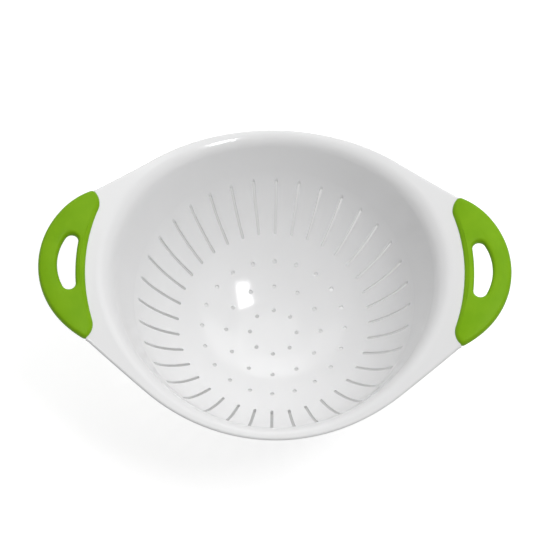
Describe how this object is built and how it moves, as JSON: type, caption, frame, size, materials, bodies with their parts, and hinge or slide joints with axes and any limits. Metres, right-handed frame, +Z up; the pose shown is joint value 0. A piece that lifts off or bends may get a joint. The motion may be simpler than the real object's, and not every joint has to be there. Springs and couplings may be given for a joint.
{
  "type": "colander",
  "caption": "Round plastic colander with a drain pattern of slots and holes, an upswept rim, two wing handles with soft finger-slot grips, and a foot ring.",
  "frame": {"origin": "middle of the bowl, at the bottom of the foot ring", "axes": "+Z up out of the bowl, +X towards the right handle, +Y towards the back of the bowl"},
  "size_m": [0.3548, 0.256, 0.1519],
  "materials": {
    "bowl_plastic": "white, polished moulded plastic",
    "grip_rubber": "lime green soft-touch overmoulding, satin"
  },
  "bodies": {
    "root": {"bowl": "bowl_plastic", "left_grip": "grip_rubber", "right_grip": "grip_rubber"}
  },
  "joints": []
}
